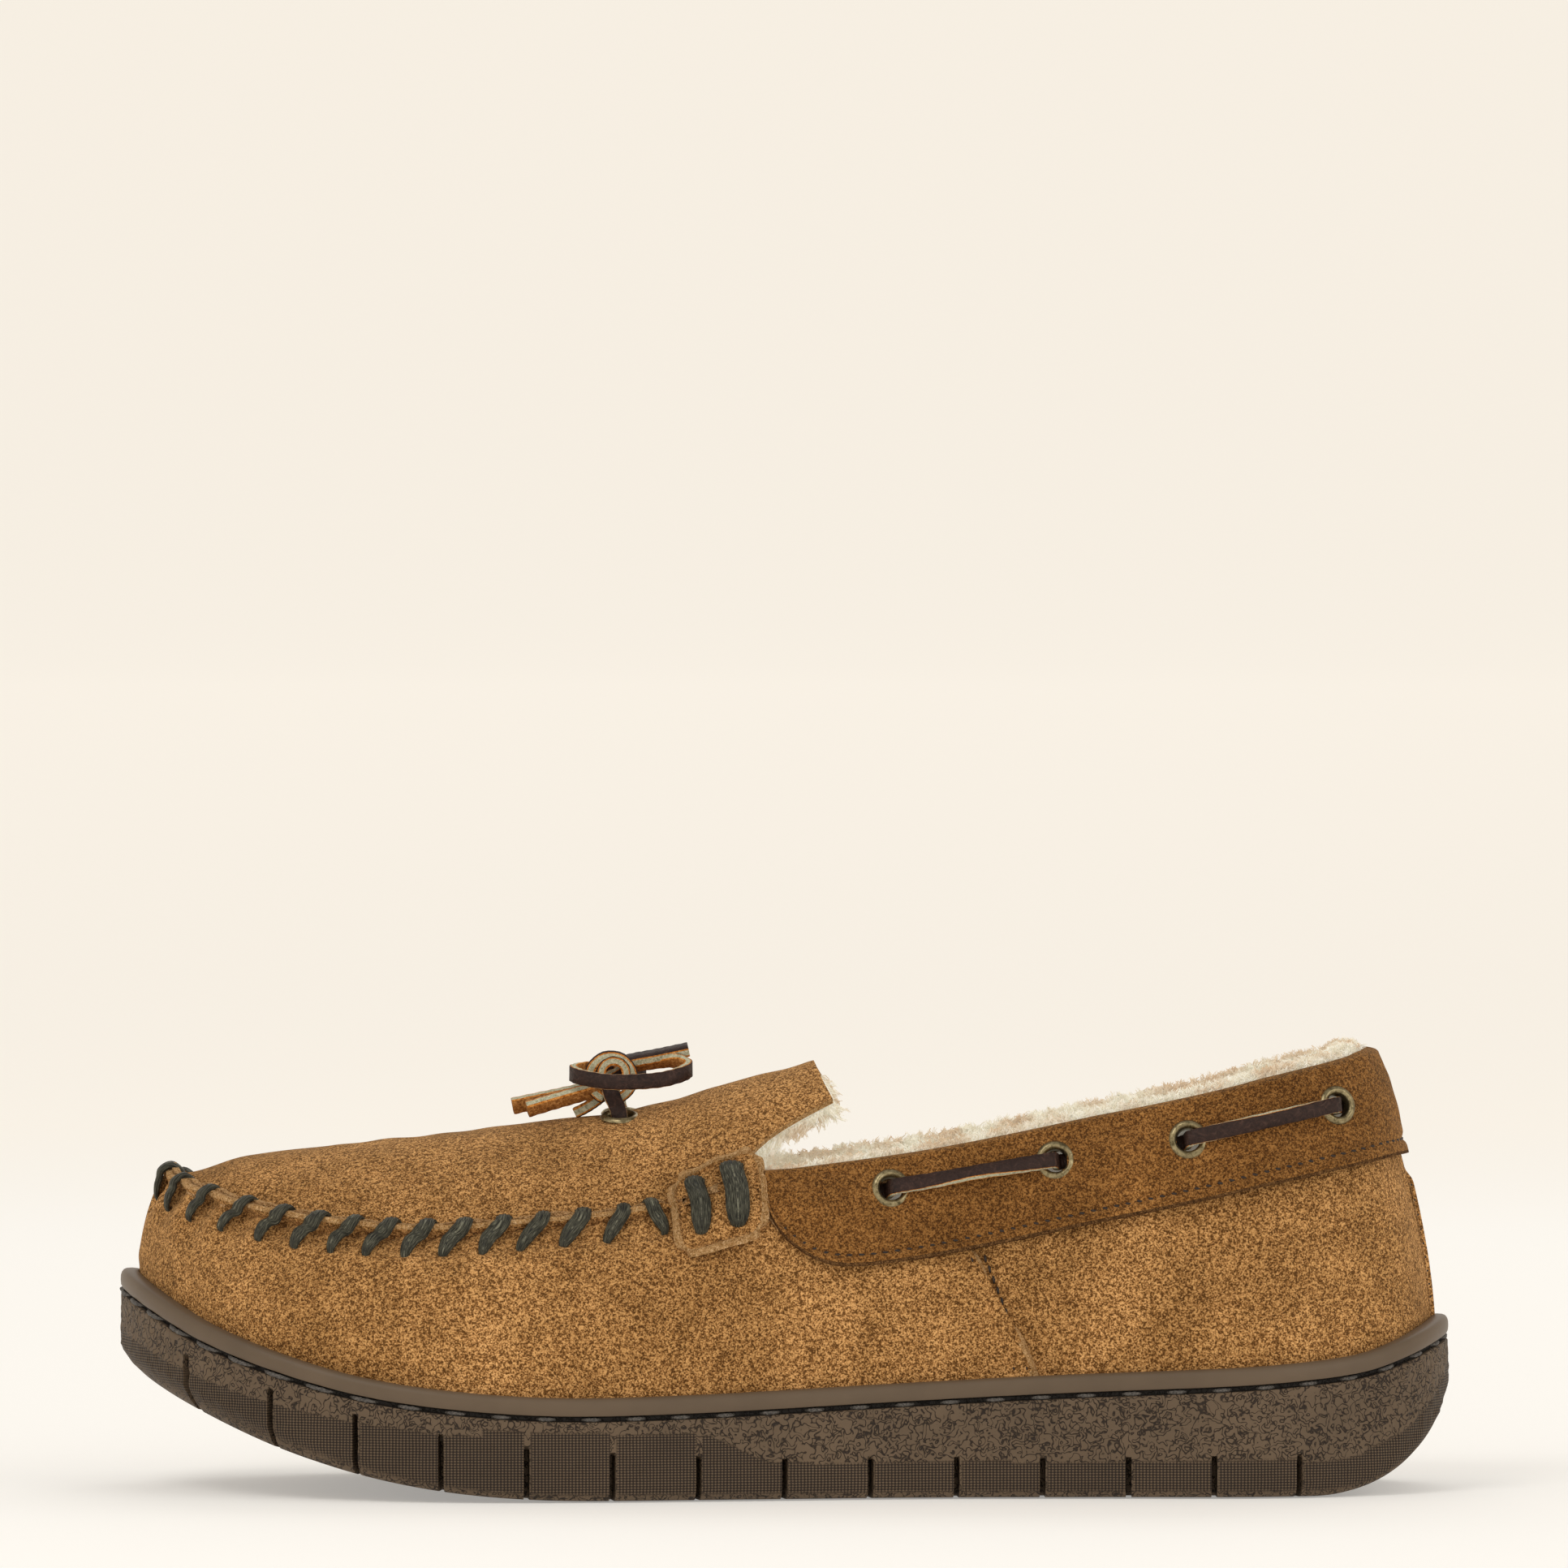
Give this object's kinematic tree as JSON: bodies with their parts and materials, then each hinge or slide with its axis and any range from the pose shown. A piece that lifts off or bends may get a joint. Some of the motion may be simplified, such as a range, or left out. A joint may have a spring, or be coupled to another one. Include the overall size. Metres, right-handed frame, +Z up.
{
  "type": "moccasin slipper",
  "caption": "Left suede moccasin slipper: whipstitched apron with tongue, folded collar with a threaded leather lace, bow, pile lining and a moulded cup sole.",
  "frame": {"origin": "middle of the sole's outline, on the ground", "axes": "+Z up, -X towards the toe, +X towards the heel, -Y the outer side of the foot, +Y the inner side"},
  "size_m": [0.2956, 0.1092, 0.099],
  "materials": {
    "suede": "brushed suede nap",
    "sole_rubber": "matt moulded, pebbled and knurled",
    "sole_thread": "waxed thread",
    "seam_thread": "waxed thread",
    "cord": "thick waxed cord, slightly glossy",
    "brass": "antique brass, satin",
    "strap": "smooth top side, pale raw edges and flesh side",
    "pile": "curly wool pile",
    "foam": "open foam",
    "board": "fibre board",
    "counter": "leather board"
  },
  "bodies": {
    "shoe": {"outsole": "sole_rubber", "sole_stitching": "sole_thread", "insole_board": "board", "footbed_foam": "foam", "sock_lining": "pile", "vamp": "suede", "quarter_lateral": "suede", "quarter_medial": "suede", "heel_counter": "counter", "collar": "suede", "apron_plug": "suede", "throat_tab_lateral": "suede", "throat_tab_medial": "suede", "vamp_lining": "pile", "quarter_lining": "pile", "apron_lining": "pile", "whipstitch_lateral": "cord", "whipstitch_medial": "cord", "tab_ties_lateral": "cord", "tab_ties_medial": "cord", "collar_stitching": "seam_thread", "vamp_stitching_lateral": "seam_thread", "vamp_stitching_medial": "seam_thread", "heel_seam_stitching": "seam_thread", "eyelet_lateral_1": "brass", "eyelet_lateral_2": "brass", "eyelet_lateral_3": "brass", "eyelet_lateral_4": "brass", "eyelet_medial_1": "brass", "eyelet_medial_2": "brass", "eyelet_medial_3": "brass", "eyelet_medial_4": "brass", "eyelet_plug_lateral": "brass", "eyelet_plug_medial": "brass", "washers": "brass", "collar_lace": "strap"},
    "tongue": {"tongue_flap": "suede", "tongue_lining": "pile"},
    "bow": {"bow": "strap"}
  },
  "joints": [
    {"name": "tongue_lift", "type": "hinge", "parent": "shoe", "child": "tongue", "pos_m": [-0.0075, -0.003, 0.0915], "axis": [0, -1, 0], "range_deg": [0, 18], "stiffness_Nm_per_rad": 0.02},
    {"name": "bow_rock", "type": "hinge", "parent": "shoe", "child": "bow", "pos_m": [-0.0356, -0.003, 0.0822], "axis": [0, 1, 0], "range_deg": [-3, 8], "stiffness_Nm_per_rad": 0.02}
  ]
}
